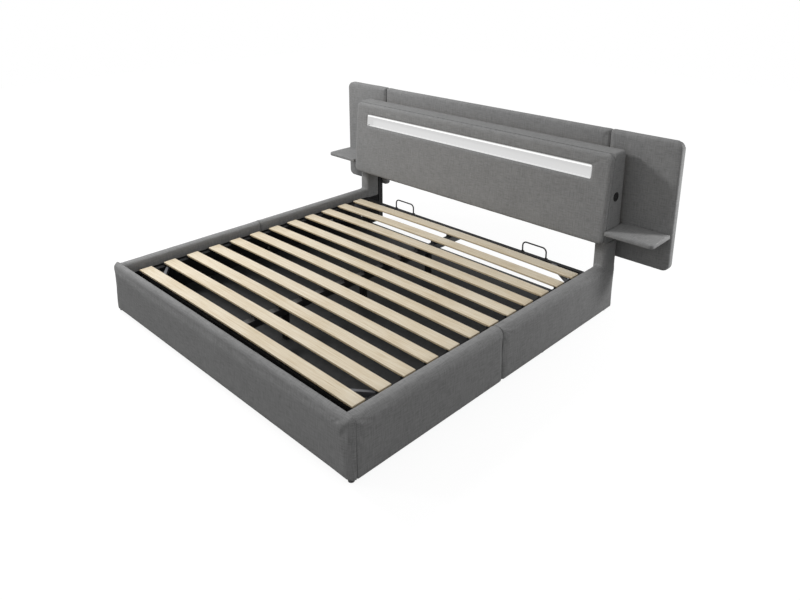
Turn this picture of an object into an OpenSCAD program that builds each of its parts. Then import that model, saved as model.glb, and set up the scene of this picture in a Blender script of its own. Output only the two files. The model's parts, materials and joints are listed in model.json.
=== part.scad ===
// Upholstered ottoman bed: padded base, slatted lift-up platform on gas struts,
// and a headboard with a lit recess, side wings and two shelves.
// Millimetres, +X to the right seen from the foot, +Y towards the head, +Z up.
// The origin lies on the floor below the middle of the whole bed.

/* [Base] */
// Width over the side rails
base_w = 2030; // [1700:10:2300]
// Length from the footboard's front to the back of the posts
base_l = 2022; // [1900:2:2300]
// Height of the side rails above the glides
rail_h = 278; // [270:1:320]
// Height of the footboard above the glides
footboard_h = 286; // [278:1:340]
// Thickness of a padded side rail
rail_t = 72; // [60:1:76]
// Thickness of the padded footboard
footboard_t = 35; // [34:1:48]
// Radius of the footboard's upright corners
corner_r = 33; // [10:1:33]
// Distance of the joint between the rail halves from the footboard's front
rail_joint = 968; // [800:1:1100]
// Thickness of the boards inside the rails and the footboard
board_t = 18; // [12:1:20]
// Height of the glides
glide_h = 12; // [6:1:40]
// Radius of the glides
glide_r = 14; // [8:1:16]

/* [Posts] */
// Width of a padded post
post_w = 85; // [76:1:110]
// Depth of a padded post
post_d = 109; // [90:1:140]
// Depth of the steel bars behind each post, two deep
upright_d = 42; // [30:2:60]
// Width of the steel bars
upright_w = 45; // [30:1:60]

/* [Headboard box] */
// Height of the box's underside above the glides
box_bottom = 420; // [380:1:480]
// Height of the box
box_h = 515; // [450:1:600]
// Thickness of the box's boards
box_board_t = 15; // [12:1:22]
// Thickness of the fabric and wadding round the box
skin_t = 5; // [3:1:8]
// How far the box's lower front edge overhangs the posts
box_overhang = 38; // [10:1:60]
// Thickness of the front pad
pad_t = 24; // [22:1:40]
// How far the top of the front pad leans back
pad_lean = 40; // [10:1:60]

/* [Light] */
// Distance of the lit recess's ends from the box's ends
recess_margin = 123; // [70:1:400]
// Height of the lit recess
recess_h = 78; // [50:1:110]
// Distance of the lit recess's upper edge below the box's top
recess_down = 80.5; // [40:0.5:160]
// Depth of the lit recess
recess_d = 35; // [26:1:38]
// Wall of the white tray
tray_wall = 1.5; // [1:0.1:3]
// Width of the light diffuser
diffuser_w = 12; // [8:1:16]
// Height of the light diffuser
diffuser_h = 9; // [6:1:12]

/* [Back panels] */
// How far the wings stand out past the side rails
wing_reach = 285; // [200:1:400]
// How far the wings reach in behind the posts
wing_lap = 125; // [95:1:200]
// Thickness of the back panels
panel_t = 42; // [34:1:55]
// Thickness of the boards at the back of the panels
panel_board_t = 15; // [10:1:18]
// Height of the panels' top above the glides
panel_top = 1022; // [980:1:1150]
// Height of the wings' underside above the glides
wing_bottom = 290; // [200:1:400]
// Height of the centre panel's underside above the glides
centre_bottom = 440; // [430:1:520]
// Radius of the wings' outer corners
wing_r = 45; // [20:1:70]

/* [Shelves] */
// Height of a shelf's top above the glides
shelf_top = 507; // [470:1:600]
// Thickness of a shelf
shelf_t = 25; // [22:1:32]
// Depth of a shelf in front of the wing
shelf_d = 214; // [140:1:230]
// Radius of the steel rods that carry a shelf
rod_r = 5; // [3:0.5:5]

/* [Charging socket] */
// Radius of the socket's rim
socket_r = 26; // [20:1:32]
// Radius of the socket's body in its hole
socket_body_r = 22; // [16:1:19]
// Depth of the socket's body
socket_depth = 32; // [20:1:50]
// Height of the socket's middle above the glides
socket_z = 685; // [600:1:800]

/* [Lift platform] */
// Distance of the platform's front from the footboard's front
platform_front = 112; // [60:1:150]
// Gap between the platform's back and the posts
platform_back_gap = 13; // [8:1:33]
// Height of the steel tubes' top above the glides
tube_top = 215; // [205:1:225]
// Height of the tubes
tube_h = 40; // [36:1:42]
// Width of the tubes
tube_w = 30; // [25:1:32]
// Wall of the tubes
tube_wall = 2; // [1.5:0.1:3]
// Width of the centre tube
centre_tube_w = 40; // [30:1:60]
// Gap between the platform and the side rails
platform_gap = 29; // [27:1:45]

/* [Slats] */
// Number of slats
slat_n = 12; // [8:1:13]
// Gap between a slat's ends and the side rails
slat_end_gap = 38; // [32:1:45]
// Width of a slat
slat_w = 73; // [50:1:80]
// Thickness of a slat
slat_t = 12; // [8:1:16]
// How far the middle of a slat stands above its ends
slat_crown = 8; // [4:1:12]
// Gap between the last slat and the platform's back
slat_head_gap = 87; // [60:1:150]
// Height of the plastic saddles under the slat ends
saddle_h = 9; // [6:1:12]

/* [Mattress loops] */
// Gap between a loop's outer leg and the side rails
loop_side_gap = 314; // [200:1:420]
// Width of a loop between its legs' middles
loop_w = 168; // [120:1:260]
// Height of a loop above the tubes' top
loop_h = 63; // [50:1:120]
// Radius of the loop wire
loop_wire_r = 4.5; // [3:0.5:6]
// Radius of a loop's upper corners
loop_bend_r = 26; // [15:1:40]

/* [Lift mechanism] */
// Distance of the hinge pins from the platform's back
hinge_back = 100; // [90:1:120]
// Radius of the hinge pins
hinge_pin_r = 8; // [6:0.5:10]
// Height of the strut's lower pin above the glides
strut_low_z = 50; // [48:1:60]
// Distance of the strut's upper stud from the hinge pins
strut_reach = 300; // [290:1:360]
// Height of the strut's upper stud above the glides
strut_high_z = 154; // [148:1:156]
// Radius of the gas cylinder
cylinder_r = 14; // [11:0.5:14]
// Radius of the piston rod
piston_rod_r = 5; // [4:0.5:6]
// Angle that the platform opens to
lift_angle = 36; // [20:1:36]
// Thickness of the lift brackets
bracket_t = 5; // [3:0.5:7]

/* [Storage floor] */
// Thickness of the floor panels
floor_t = 6; // [4:1:9]
// Height of the battens under the floor
batten_h = 22; // [16:1:24]
// Width of the battens
batten_w = 20; // [15:1:30]
// Width of the bearer under the middle of the floor
bearer_w = 60; // [40:1:100]

/* [Hidden] */
$fn = 64;

// Clearances: between padded pieces, on running pins and glued joints, and the overrun of cuts
seat = 0.3;
fit = 0.05;
over = 1;

// Places along the bed, from the middle of the whole length
overall_l = base_l + upright_d + panel_t;
y_foot = -overall_l / 2;
y_post = y_foot + base_l - post_d;
y_base_back = y_foot + base_l;
y_panel = y_base_back + upright_d;
y_joint = y_foot + rail_joint;
z_base = glide_h;

// Side rails
rail_in_x = base_w / 2 - rail_t;
rail_out_x = base_w / 2;
rail_top_r = 34;
rail_top_in_r = 26;
rail_low_r = 4;
rail_end_r = 14;
rail_heel_r = 18;
rail_joint_gap = 1;
rail_lining = 6;
rail_board_top_gap = 28;
rail_board_end_gap = 20;

// Footboard
footboard_top_r = 16;
footboard_back_r = 14;
footboard_end_r = 22;
footboard_lining = 5;
footboard_board_inset = 34;
footboard_board_top_gap = 24;

// Posts and uprights
post_r = 28;
post_in_r = 15;
post_back_r = 10;
post_padding = 14;
post_in_x = rail_out_x - post_w;
upright_wall = 2;
upright_r = 2;
upright_top_gap = 20;
upright_bolt_shares = [0.08, 0.2];
cross_rail_h = 40;
cross_rail_shares = [0.12, 0.68];

// Headboard box and its front pad: their fronts lean back, and the box is deeper at its foot
box_w = base_w;
box_r = 14;
z_box = z_base + box_bottom;
z_box_top = z_box + box_h;
box_in_x = box_w / 2 - skin_t;
box_depth = post_d + box_overhang;
y_box_low = y_base_back - box_depth;
pad_angle = atan(pad_lean / box_h);
pad_depth = pad_t * cos(pad_angle) - fit;
pad_face_h = box_h / cos(pad_angle);
pad_edge_r = 20;
pad_corner_r = 40;
board_corner_r = pad_corner_r - skin_t;
y_pad_low = y_box_low - pad_t;
recess_l = box_w - 2 * recess_margin;
recess_up = pad_face_h - recess_down - recess_h;
recess_r = 5;
diffuser_r = 3;

// Light driver in the box
driver_l = 168;
driver_w = 42;
driver_h = 30;
driver_x_share = 0.3;
driver_back_gap = 14;

// Back panels
panel_gap = 1;
panel_edge_r = 14;
panel_seam_r = 8;
wing_low_in_r = 24;
panel_board_inset = 16;
centre_w = base_w - 2 * wing_lap;
wing_in_x = centre_w / 2 + panel_gap;
wing_out_x = rail_out_x + wing_reach;

// Shelves
shelf_edge_r = 9;
shelf_corner_r = 26;
shelf_skin = 6;
shelf_end_gap = 5;
shelf_rod_share = 0.26;
shelf_rod_depth = 110;
shelf_rod_back = 2;
shelf_out_x = wing_out_x - shelf_end_gap;

// Charging sockets
socket_rim_t = 2.5;
socket_dish = 1.2;
socket_dish_r = 20;
port_w = 9;
port_h = 2.8;
port_depth = 8;
port_up = 6;
socket_y_share = 0.64;
socket_y = y_base_back - post_d * socket_y_share;

// Platform frame
tube_x = rail_in_x - platform_gap;
y_plat_front = y_foot + platform_front;
y_plat_back = y_post - platform_back_gap;
z_tube_top = z_base + tube_top;
z_tube_low = z_tube_top - tube_h;
brace_along = 190;
brace_side = 140;
brace_w = 34;
brace_h = 26;
leg_w = 30;
leg_foot_h = 6;
leg_shares = [0.225, 0.496, 0.77];

// Slats and saddles
slat_edge_gap = 0.4;
saddle_w = 24;
saddle_lip = 2.5;
saddle_lip_h = 5;
y_slat_first = y_plat_front;
slat_steps = 24;
slat_l = 2 * (rail_in_x - slat_end_gap);
slat_pitch = (y_plat_back - y_plat_front - slat_w - slat_head_gap) / (slat_n - 1);
z_slat = z_tube_top + saddle_h;

// Loops and their sockets
loop_socket_w = 18;
loop_socket_d = 16;
loop_socket_h = 26;
loop_socket_floor = 3;
loop_socket_drop = 3;
loop_inner = rail_in_x - loop_side_gap - loop_w;

// Lift mechanism
z_hinge = z_tube_top - tube_h / 2;
y_hinge = y_plat_back - hinge_back;
boss_r = 15;
pin_head_r = 13;
pin_head_t = 6;
bracket_front = 62;
bracket_back = 62;
bracket_low_gap = 6;
bracket_head = 26;
bracket_waist = 24;
low_pin_r = 6;
low_pin_collar_r = 9;
eye_r = 12;
eye_w = 16;
stud_r = 4;
stud_play = 3.5;
stud_ring_r = 11.5;
stud_ring_w = 14;
lug_t = 5;
lug_r = 16;
neck_r = 7;
cylinder_wall = 2.5;
cylinder_cap = 8;
gland_l = 14;
cylinder_end_gap = 60;
piston_l = 10;
piston_gap = 0.1;
rod_margin = 4;
strut_side = 1;
strut_mid_x = tube_x + strut_side;
z_low_pin = z_base + strut_low_z;
z_stud = z_base + strut_high_z;
y_stud = y_hinge - strut_reach;
strut_len = norm([y_stud - y_hinge, z_stud - z_low_pin]);
strut_angle = atan2(z_stud - z_low_pin, y_hinge - y_stud);

// Length of the strut with the platform open, from the triangle of its pins and the hinge
hinge_drop = z_hinge - z_low_pin;
stud_arm = norm([strut_reach, z_hinge - z_stud]);
stud_angle = 90 - atan2(z_hinge - z_stud, strut_reach);
strut_open_len = sqrt(pow(hinge_drop, 2) + pow(stud_arm, 2)
    - 2 * hinge_drop * stud_arm * cos(stud_angle + lift_angle));
rod_inside = strut_open_len - strut_len + gland_l + piston_l + rod_margin;

// Brackets, plates and bolts
plate_t = 4;
plate_w = 44;
plate_h = 150;
plate_z = 62;
joint_plate_l = 130;
bolt_r = 4;
bolt_head_r = 7.5;
bolt_head_h = 4.5;
bolt_grip = 12;
bolt_play = 0.2;
bolt_edge = 22;
rest_w = 50;
rest_plate_h = 54;
rest_share = 0.31;
rest_plate_gap = 20;
rest_reach = tube_w / 2;
rest_y = [y_foot + rest_share * rail_joint, y_joint + joint_plate_l / 2 + rest_plate_gap];

// Storage floor
floor_gap = 1;
floor_back_gap = 8;
z_floor = z_base + batten_h;
glide_inset = 24;
glide_shares = [0.012, 0.33, 0.66, 0.97];

// Rectangle with its own radius at each corner, from the lower left one round to the upper left one
module soft_rect(w, h, r0, r1, r2, r3) {
    difference() {
        square([w, h]);
        corner_cut(0, 0, r0, 0);
        corner_cut(w, 0, r1, 90);
        corner_cut(w, h, r2, 180);
        corner_cut(0, h, r3, 270);
    }
}

// The sliver outside a quarter circle, to be cut from a corner
module corner_cut(x, y, r, turn) {
    if (r > 0)
        translate([x, y]) rotate(turn) difference() {
            translate([-over, -over]) square(r + over);
            translate([r, r]) circle(r);
        }
}

// A child made on the right-hand side, shown on the right (1) or on the left (-1)
module on_side(s) {
    mirror([s < 0 ? 1 : 0, 0, 0]) children();
}

// Profiles drawn flat and stretched along X, Y or Z
module along_y(y, l) {
    translate([0, y + l, 0]) rotate([90, 0, 0]) linear_extrude(l) children();
}

module along_x(x, l) {
    translate([x, 0, 0]) rotate([90, 0, 90]) linear_extrude(l) children();
}

module rod_x(x, y, z, r, l) {
    translate([x, y, z]) rotate([0, 90, 0]) cylinder(r = r, h = l);
}

module rod_y(x, y, z, r, l) {
    translate([x, y, z]) rotate([-90, 0, 0]) cylinder(r = r, h = l);
}

module block(x, y, z, w, d, h) {
    translate([x, y, z]) cube([w, d, h]);
}

// Rectangular steel tube along Y or X, open at both ends
module tube_y(x, y, z, w, l, h) {
    difference() {
        block(x, y, z, w, l, h);
        block(x + tube_wall, y - over, z + tube_wall, w - 2 * tube_wall, l + 2 * over, h - 2 * tube_wall);
    }
}

module tube_x_bar(x, y, z, l, d, h) {
    difference() {
        block(x, y, z, l, d, h);
        block(x - over, y + tube_wall, z + tube_wall, l + 2 * over, d - 2 * tube_wall, h - 2 * tube_wall);
    }
}

// Bolt places on the inner face of the right-hand rail, as [y, z]
bolt_z = [z_base + plate_z + bolt_edge, z_base + plate_z + plate_h - bolt_edge];
front_bolts = [for (z = bolt_z) for (y = [y_foot + footboard_t + plate_t + bolt_edge,
    y_joint - joint_plate_l / 2 + bolt_edge]) [y, z]];
joint_rear_bolts = [for (z = bolt_z) [y_joint + joint_plate_l / 2 - bolt_edge, z]];
lift_bolts = [for (z = bolt_z) for (s = [-1, 1]) [y_hinge + s * (bracket_front - bracket_waist / 2), z]];
foot_bolt_x = rail_in_x - plate_t - bolt_edge;

module bolts_into_rail(places, r, depth) {
    for (p = places)
        rod_x(rail_in_x - over, p[0], p[1], r, depth + over);
}

// A bolt through a plate of the given thickness on the rail's inner face
module rail_bolts(places, plate) {
    for (p = places) {
        rod_x(rail_in_x - plate - bolt_head_h, p[0], p[1], bolt_head_r, bolt_head_h);
        rod_x(rail_in_x - plate - over, p[0], p[1], bolt_r, plate + over + bolt_grip);
    }
}

// Padding of one rail half, with its own radius at each end of the outer side and at its heel
module rail_padding(y0, l, front_r, back_r, heel_r) {
    intersection() {
        along_x(rail_in_x, rail_t) translate([y0, z_base])
            soft_rect(l, rail_h, 0, heel_r, 0, 0);
        along_y(y0, l) translate([rail_in_x, z_base])
            soft_rect(rail_t, rail_h, rail_low_r, rail_low_r, rail_top_r, rail_top_in_r);
        translate([rail_in_x, y0, z_base]) linear_extrude(rail_h)
            soft_rect(rail_t, l, 0, front_r, back_r, 0);
    }
}

module rail_board_space(y0, l, below) {
    block(rail_in_x + rail_lining, y0 + rail_board_end_gap, z_base - below,
        board_t, l - 2 * rail_board_end_gap, rail_h - rail_board_top_gap + below);
}

front_y0 = y_foot + footboard_t + seat;
front_l = y_joint - rail_joint_gap / 2 - front_y0;
rear_y0 = y_joint + rail_joint_gap / 2;
rear_l = y_base_back - rear_y0;
rear_board_l = y_post + post_padding - rear_y0 + rail_board_end_gap;

module rail_board(y0, l, places) {
    difference() {
        rail_board_space(y0, l, 0);
        bolts_into_rail(places, bolt_r + bolt_play, bolt_grip + over);
    }
}

module front_rail_cover(s) {
    color("dimgray") on_side(s) difference() {
        rail_padding(front_y0, front_l, 0, rail_end_r, rail_heel_r);
        rail_board_space(front_y0, front_l, over);
        bolts_into_rail(front_bolts, bolt_r + bolt_play, rail_lining + over);
    }
}

// The rear half's cover runs on up the post in one piece
module rear_side_cover(s) {
    color("dimgray") on_side(s) difference() {
        union() {
            rail_padding(rear_y0, rear_l, rail_end_r, post_back_r, 0);
            translate([post_in_x, y_post, z_base + rail_low_r]) linear_extrude(box_bottom - rail_low_r)
                soft_rect(post_w, post_d, post_in_r, post_r, post_back_r, post_back_r);
        }
        rail_board_space(rear_y0, rear_board_l, over);
        post_core_space(over);
        bolts_into_rail(concat(joint_rear_bolts, lift_bolts), bolt_r + bolt_play, rail_lining + over);
        upright_bolt_shafts(bolt_r + bolt_play, over);
    }
}

module rail_boards() {
    color("burlywood")
        for (s = [-1, 1]) on_side(s) {
            rail_board(front_y0, front_l, front_bolts);
            rail_board(rear_y0, rear_board_l, concat(joint_rear_bolts, lift_bolts));
        }
}

// Footboard
module footboard_board_space(below) {
    block(-rail_out_x + footboard_board_inset, y_foot + footboard_t - footboard_lining - board_t, z_base - below,
        base_w - 2 * footboard_board_inset, board_t, footboard_h - footboard_board_top_gap + below);
}

module footboard_bolt_holes(depth) {
    for (s = [-1, 1]) for (z = bolt_z)
        rod_y(s * foot_bolt_x, y_foot + footboard_t - depth, z, bolt_r + bolt_play, depth + over);
}

module footboard_cover() {
    color("dimgray") difference() {
        intersection() {
            translate([-rail_out_x, y_foot, z_base]) linear_extrude(footboard_h)
                soft_rect(base_w, footboard_t, corner_r, corner_r, 0, 0);
            along_x(-rail_out_x, base_w) translate([y_foot, z_base])
                soft_rect(footboard_t, footboard_h, rail_low_r, rail_low_r, footboard_back_r, footboard_top_r);
            along_y(y_foot, footboard_t) translate([-rail_out_x, z_base])
                soft_rect(base_w, footboard_h, rail_low_r, rail_low_r, footboard_end_r, footboard_end_r);
        }
        footboard_board_space(over);
        footboard_bolt_holes(footboard_lining + over);
    }
}

module footboard_board() {
    color("burlywood") difference() {
        footboard_board_space(0);
        footboard_bolt_holes(bolt_grip + over);
    }
}

// Timber cores of the posts, up to the headboard box
module post_core_space(grow) {
    block(post_in_x + post_padding, y_post + post_padding, z_base - grow,
        post_w - 2 * post_padding, post_d - 2 * post_padding, box_bottom + 2 * grow);
}

module post_cores() {
    color("burlywood") for (s = [-1, 1]) on_side(s) difference() {
        post_core_space(0);
        upright_bolt_shafts(bolt_r + bolt_play, over);
    }
}

// Steel bars behind the posts: the front one carries the box and the back one the panels
upright_h = box_bottom + box_h - upright_top_gap;
upright_bolt_x = post_in_x + upright_w / 2;
upright_bolt_z = [for (g = upright_bolt_shares) z_base + g * upright_h];

module upright_bar(y) {
    translate([post_in_x, y, z_base]) linear_extrude(upright_h) difference() {
        soft_rect(upright_w, upright_d / 2, upright_r, upright_r, upright_r, upright_r);
        translate([upright_wall, upright_wall])
            square([upright_w - 2 * upright_wall, upright_d / 2 - 2 * upright_wall]);
    }
}

module upright_bolt_shafts(r, extra) {
    for (z = upright_bolt_z)
        rod_y(upright_bolt_x, y_base_back - post_padding - bolt_grip - extra, z, r,
            post_padding + bolt_grip + upright_d + 2 * extra);
}

module headboard_uprights() {
    color([0.06, 0.06, 0.07]) for (s = [-1, 1]) on_side(s) difference() {
        for (y = [y_base_back, y_base_back + upright_d / 2]) upright_bar(y);
        upright_bolt_shafts(bolt_r, over);
    }
}

module cross_rails() {
    color([0.06, 0.06, 0.07]) for (g = cross_rail_shares)
        difference() {
            block(-post_in_x, y_base_back, z_box + g * box_h, 2 * post_in_x, upright_d, cross_rail_h);
            block(-post_in_x - over, y_base_back + upright_wall, z_box + g * box_h + upright_wall,
                2 * (post_in_x + over), upright_d - 2 * upright_wall, cross_rail_h - 2 * upright_wall);
        }
}

// Joints of the base
module corner_brackets() {
    color([0.1, 0.1, 0.11]) for (s = [-1, 1]) on_side(s) difference() {
        union() {
            block(rail_in_x - plate_t, y_foot + footboard_t, z_base + plate_z, plate_t, plate_w, plate_h);
            block(rail_in_x - plate_w, y_foot + footboard_t, z_base + plate_z, plate_w, plate_t, plate_h);
        }
        for (z = bolt_z) {
            rod_x(rail_in_x - plate_t - over, front_bolts[0][0], z, bolt_r, plate_t + 2 * over);
            rod_y(foot_bolt_x, y_foot + footboard_t - over, z, bolt_r, plate_t + 2 * over);
        }
    }
}

module rail_joint_plates() {
    color([0.1, 0.1, 0.11]) for (s = [-1, 1]) on_side(s) difference() {
        block(rail_in_x - plate_t, y_joint - joint_plate_l / 2, z_base + plate_z, plate_t, joint_plate_l, plate_h);
        for (z = bolt_z) for (t = [-1, 1])
            rod_x(rail_in_x - plate_t - over, y_joint + t * (joint_plate_l / 2 - bolt_edge), z,
                bolt_r, plate_t + 2 * over);
    }
}

module frame_bolts() {
    color("silver") for (s = [-1, 1]) on_side(s) {
        rail_bolts(concat(front_bolts, joint_rear_bolts), plate_t);
        rail_bolts(lift_bolts, bracket_t);
        for (z = bolt_z) {
            rod_y(foot_bolt_x, y_foot + footboard_t + plate_t, z, bolt_head_r, bolt_head_h);
            rod_y(foot_bolt_x, y_foot + footboard_t - bolt_grip, z, bolt_r, bolt_grip + plate_t + over);
        }
        upright_bolt_shafts(bolt_r, 0);
        for (z = upright_bolt_z) rod_y(upright_bolt_x, y_panel, z, bolt_head_r, bolt_head_h);
    }
}

module glides() {
    color([0.08, 0.08, 0.08]) {
        for (s = [-1, 1]) for (g = glide_shares)
            translate([s * (rail_out_x - glide_inset), y_foot + g * base_l, 0]) cylinder(r = glide_r, h = glide_h);
        for (g = leg_shares)
            translate([0, y_foot + g * base_l, 0]) cylinder(r = glide_r, h = glide_h);
    }
}

// Storage floor on its battens
floor_y0 = y_foot + footboard_t + floor_gap;
floor_l = y_post - floor_back_gap - floor_y0;

module storage_floor(s) {
    color([0.17, 0.17, 0.18]) on_side(s)
        block(floor_gap / 2, floor_y0, z_floor, rail_in_x - floor_gap, floor_l, floor_t);
}

module floor_battens() {
    color("burlywood") {
        for (s = [-1, 1]) on_side(s)
            block(rail_in_x - batten_w, floor_y0, z_base, batten_w, floor_l, batten_h);
        for (s = [-1, 1]) on_side(s) for (y = [floor_y0, floor_y0 + floor_l - batten_w])
            block(bearer_w / 2 + seat, y, z_base, rail_in_x - batten_w - bearer_w / 2 - 2 * seat,
                batten_w, batten_h);
    }
}

module centre_bearer() {
    color("burlywood")
        block(-bearer_w / 2, floor_y0, z_base, bearer_w, floor_l, batten_h);
}

module platform_rests() {
    color([0.1, 0.1, 0.11]) for (s = [-1, 1]) on_side(s) for (y = rest_y)
        translate([0, y, 0]) {
            block(tube_x - rest_reach, 0, z_tube_low - seat - plate_t,
                rail_in_x - tube_x + rest_reach, rest_w, plate_t);
            block(rail_in_x - plate_t, 0, z_tube_low - seat - rest_plate_h, plate_t, rest_w, rest_plate_h);
        }
}

// Section of the box at a given inset from its top, foot, front and back
module box_section(inset, front, back) {
    lean = pad_lean / box_h;
    polygon([
        [y_box_low + front + lean * inset, z_box + inset],
        [y_base_back - back, z_box + inset],
        [y_base_back - back, z_box_top - inset],
        [y_box_low + front + lean * (box_h - inset), z_box_top - inset]
    ]);
}

// Space of the front board: its corners are drawn in behind the pad's round ones
module front_board_space(grow, back) {
    intersection() {
        along_x(-box_in_x, 2 * box_in_x) difference() {
            box_section(skin_t, -grow, 0);
            box_section(0, box_board_t + back, -over);
        }
        along_y(y_box_low - grow, box_depth) translate([-box_in_x, z_box + skin_t])
            soft_rect(2 * box_in_x, box_h - 2 * skin_t,
                board_corner_r, board_corner_r, board_corner_r, board_corner_r);
    }
}

module box_cover() {
    color("dimgray") difference() {
        intersection() {
            along_x(-box_w / 2, box_w) box_section(0, 0, 0);
            along_y(y_box_low, box_depth) translate([-box_w / 2, z_box])
                soft_rect(box_w, box_h, box_r, box_r, box_r, box_r);
        }
        front_board_space(over, over);
        along_x(-box_in_x, 2 * box_in_x) box_section(skin_t, box_board_t, -over);
        for (s = [-1, 1]) on_side(s) socket_hole();
    }
}

// Boards of the box: the front one covers the edges of the others
module box_level_board(z0) {
    color("burlywood") intersection() {
        along_x(-box_in_x, 2 * box_in_x) box_section(skin_t, box_board_t + fit, 0);
        block(-box_in_x, y_box_low, z0, 2 * box_in_x, box_depth, box_board_t);
    }
}

module box_top_board() {
    box_level_board(z_box_top - skin_t - box_board_t);
}

module box_bottom_board() {
    box_level_board(z_box + skin_t);
}

module box_side_boards() {
    color("burlywood") for (s = [-1, 1]) on_side(s) difference() {
        along_x(box_in_x - box_board_t, box_board_t) box_section(skin_t + box_board_t, box_board_t + fit, 0);
        socket_hole();
    }
}

module box_back_board() {
    color("burlywood")
        block(-box_in_x + box_board_t, y_base_back - box_board_t, z_box + skin_t + box_board_t,
            2 * (box_in_x - box_board_t), box_board_t, box_h - 2 * (skin_t + box_board_t));
}

module box_front_board() {
    color("burlywood") difference() {
        front_board_space(0, 0);
        on_pad() recess_space(recess_l, recess_h, over);
    }
}

// Leaning front pad, cut through for the light tray; drawn upright and leant back
module on_pad() {
    translate([0, y_pad_low, z_box]) rotate([-pad_angle, 0, 0]) children();
}

module recess_space(l, h, front) {
    along_y(-front, front + recess_d) translate([-l / 2, recess_up + (recess_h - h) / 2])
        soft_rect(l, h, recess_r, recess_r, recess_r, recess_r);
}

module headboard_front_pad() {
    color("gray") difference() {
        intersection() {
            on_pad() along_x(-box_w / 2, box_w) soft_rect(pad_depth, pad_face_h, pad_edge_r, 0, 0, pad_edge_r);
            on_pad() translate([-box_w / 2, 0, 0]) linear_extrude(pad_face_h)
                soft_rect(box_w, pad_depth, pad_edge_r, pad_edge_r, 0, 0);
            along_y(y_pad_low, pad_t + pad_lean) translate([-box_w / 2, z_box])
                soft_rect(box_w, box_h, pad_corner_r, pad_corner_r, pad_corner_r, pad_corner_r);
        }
        on_pad() recess_space(recess_l, recess_h, over);
    }
}

// White tray in the recess, and the diffuser of the light strip under its upper wall
tray_l = recess_l - 2 * seat;
tray_h = recess_h - 2 * seat;

module light_tray() {
    color("white") on_pad() difference() {
        recess_space(tray_l, tray_h, 0);
        block(-tray_l / 2 + tray_wall, -over, recess_up + seat + tray_wall,
            tray_l - 2 * tray_wall, recess_d - tray_wall + over, tray_h - 2 * tray_wall);
    }
}

module light_diffuser() {
    color([1, 1, 0.97]) on_pad()
        along_x(-tray_l / 2 + tray_wall, tray_l - 2 * tray_wall)
            translate([tray_wall, recess_up + recess_h - seat - tray_wall - diffuser_h])
                soft_rect(diffuser_w, diffuser_h, diffuser_r, diffuser_r, 0, 0);
}

module light_driver() {
    color("whitesmoke")
        block(driver_x_share * box_w, y_base_back - box_board_t - driver_back_gap - driver_w,
            z_box + skin_t + box_board_t, driver_l, driver_w, driver_h);
}

// Round charging socket in the side of the box
module socket_hole() {
    rod_x(box_in_x - box_board_t - over, socket_y, z_base + socket_z, socket_body_r + fit,
        box_board_t + skin_t + 2 * over);
}

module charging_socket(s) {
    color([0.05, 0.05, 0.05]) on_side(s) difference() {
        union() {
            rod_x(box_w / 2, socket_y, z_base + socket_z, socket_r, socket_rim_t);
            rod_x(box_w / 2 - socket_depth, socket_y, z_base + socket_z, socket_body_r, socket_depth + over);
        }
        rod_x(box_w / 2 + socket_rim_t - socket_dish, socket_y, z_base + socket_z, socket_dish_r, socket_dish + over);
        for (t = [-1, 1])
            block(box_w / 2 + socket_rim_t - socket_dish - port_depth, socket_y - port_w / 2,
                z_base + socket_z + t * port_up - port_h / 2, port_depth + over, port_w, port_h);
    }
}

// Back panels: padded covers over boards that show at the back
module panel_cover(x0, w, z0, h, radii) {
    intersection() {
        along_y(y_panel, panel_t) translate([x0, z0]) soft_rect(w, h, radii[0], radii[1], radii[2], radii[3]);
        along_x(x0, w) translate([y_panel, z0])
            soft_rect(panel_t, h, panel_edge_r, panel_seam_r, panel_seam_r, panel_edge_r);
        translate([x0, y_panel, z0]) linear_extrude(h)
            soft_rect(w, panel_t, panel_seam_r, panel_edge_r, panel_seam_r, panel_seam_r);
    }
}

module panel_board_space(x0, w, z0, h, grow) {
    block(x0 + panel_board_inset, y_panel + panel_t - panel_board_t, z0 + panel_board_inset,
        w - 2 * panel_board_inset, panel_board_t + grow, h - 2 * panel_board_inset);
}

wing_w = wing_out_x - wing_in_x;
z_wing = z_base + wing_bottom;
wing_h = panel_top - wing_bottom;
z_centre = z_base + centre_bottom;
centre_h = panel_top - centre_bottom;

module wing_cover(s) {
    color("dimgray") on_side(s) difference() {
        panel_cover(wing_in_x, wing_w, z_wing, wing_h, [wing_low_in_r, wing_r, wing_r, panel_seam_r]);
        panel_board_space(wing_in_x, wing_w, z_wing, wing_h, over);
        shelf_rod_holes();
    }
}

module centre_panel_cover() {
    color("dimgray") difference() {
        panel_cover(-centre_w / 2, centre_w, z_centre, centre_h,
            [panel_seam_r, panel_seam_r, panel_seam_r, panel_seam_r]);
        panel_board_space(-centre_w / 2, centre_w, z_centre, centre_h, over);
    }
}

module back_boards() {
    color([0.07, 0.07, 0.07]) {
        for (s = [-1, 1]) on_side(s) difference() {
            panel_board_space(wing_in_x, wing_w, z_wing, wing_h, 0);
            shelf_rod_holes();
        }
        panel_board_space(-centre_w / 2, centre_w, z_centre, centre_h, 0);
    }
}

// Shelves on steel rods that run into the wings' boards
shelf_x0 = box_w / 2 + seat;
shelf_w = shelf_out_x - shelf_x0;
shelf_y0 = y_panel - shelf_d;
z_shelf = z_base + shelf_top - shelf_t;
shelf_rod_x = [shelf_x0 + shelf_w * shelf_rod_share, shelf_x0 + shelf_w * (1 - shelf_rod_share)];

module shelf_rod_set(r, y0, l) {
    for (x = shelf_rod_x) rod_y(x, y0, z_shelf + shelf_t / 2, r, l);
}

module shelf_rod_holes() {
    shelf_rod_set(rod_r, y_panel - over, panel_t - shelf_rod_back + over);
}

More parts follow.
